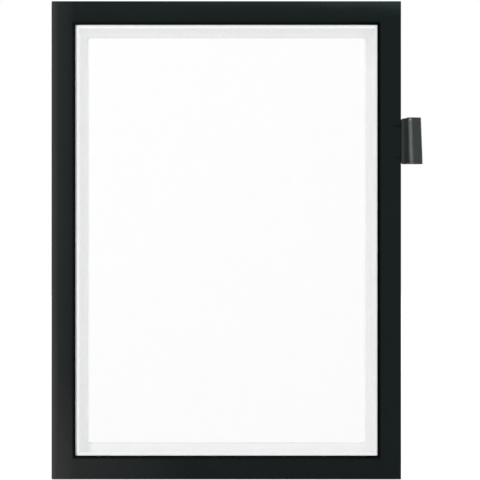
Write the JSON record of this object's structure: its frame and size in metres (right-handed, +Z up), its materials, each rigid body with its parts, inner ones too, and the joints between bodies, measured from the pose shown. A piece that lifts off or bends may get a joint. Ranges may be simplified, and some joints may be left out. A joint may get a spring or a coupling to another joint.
{
  "type": "magnetic document frame",
  "caption": "Wall-mounted magnetic frame for a sheet of paper, with a hinged front leaf whose open window lets the sheet be written on, and an elastic pen loop on its edge.",
  "frame": {"origin": "centre of the frame on the plane of the wall that the mounting tape sticks to", "axes": "+Z up, +Y back into the wall, +X to the right as seen from the front, so the front faces -Y"},
  "size_m": [0.2508, 0.0094, 0.323],
  "materials": {
    "clear_film": "satin",
    "border_film": "satin",
    "magnet": "matte",
    "mounting_tape": "matte",
    "hinge_tape": "satin",
    "paper": "matte",
    "tab": "satin",
    "strap": "satin",
    "thread": "satin"
  },
  "bodies": {
    "back": {"back_panel": "clear_film", "rear_magnet_top": "magnet", "rear_magnet_bottom": "magnet", "rear_magnet_left": "magnet", "rear_magnet_right_upper": "magnet", "rear_magnet_right_lower": "magnet", "tape_strip_top": "mounting_tape", "tape_strip_bottom": "mounting_tape", "tape_strip_left": "mounting_tape", "tape_strip_right": "mounting_tape", "insert_sheet": "paper", "hinge_tape_rear": "hinge_tape", "pen_loop_adhesive": "mounting_tape", "pen_loop_anchor": "tab"},
    "cover": {"front_magnet_top": "magnet", "front_magnet_bottom": "magnet", "front_magnet_left": "magnet", "front_magnet_right": "magnet", "window_film": "clear_film", "border_film": "border_film", "hinge_tape_front": "hinge_tape"},
    "pen_loop": {"pen_loop_tongue": "tab", "pen_loop_strap": "strap", "pen_loop_stitching": "thread"}
  },
  "joints": [
    {"name": "cover_hinge", "type": "hinge", "parent": "back", "child": "cover", "pos_m": [-0.1182, -0.00168, 0], "axis": [0, 0, -1], "range_deg": [0, 180]},
    {"name": "pen_loop_flex", "type": "hinge", "parent": "back", "child": "pen_loop", "pos_m": [0.1182, -0.0015, 0.0672], "axis": [0, 0, -1], "range_deg": [0, 30], "stiffness_Nm_per_rad": 0.01}
  ]
}
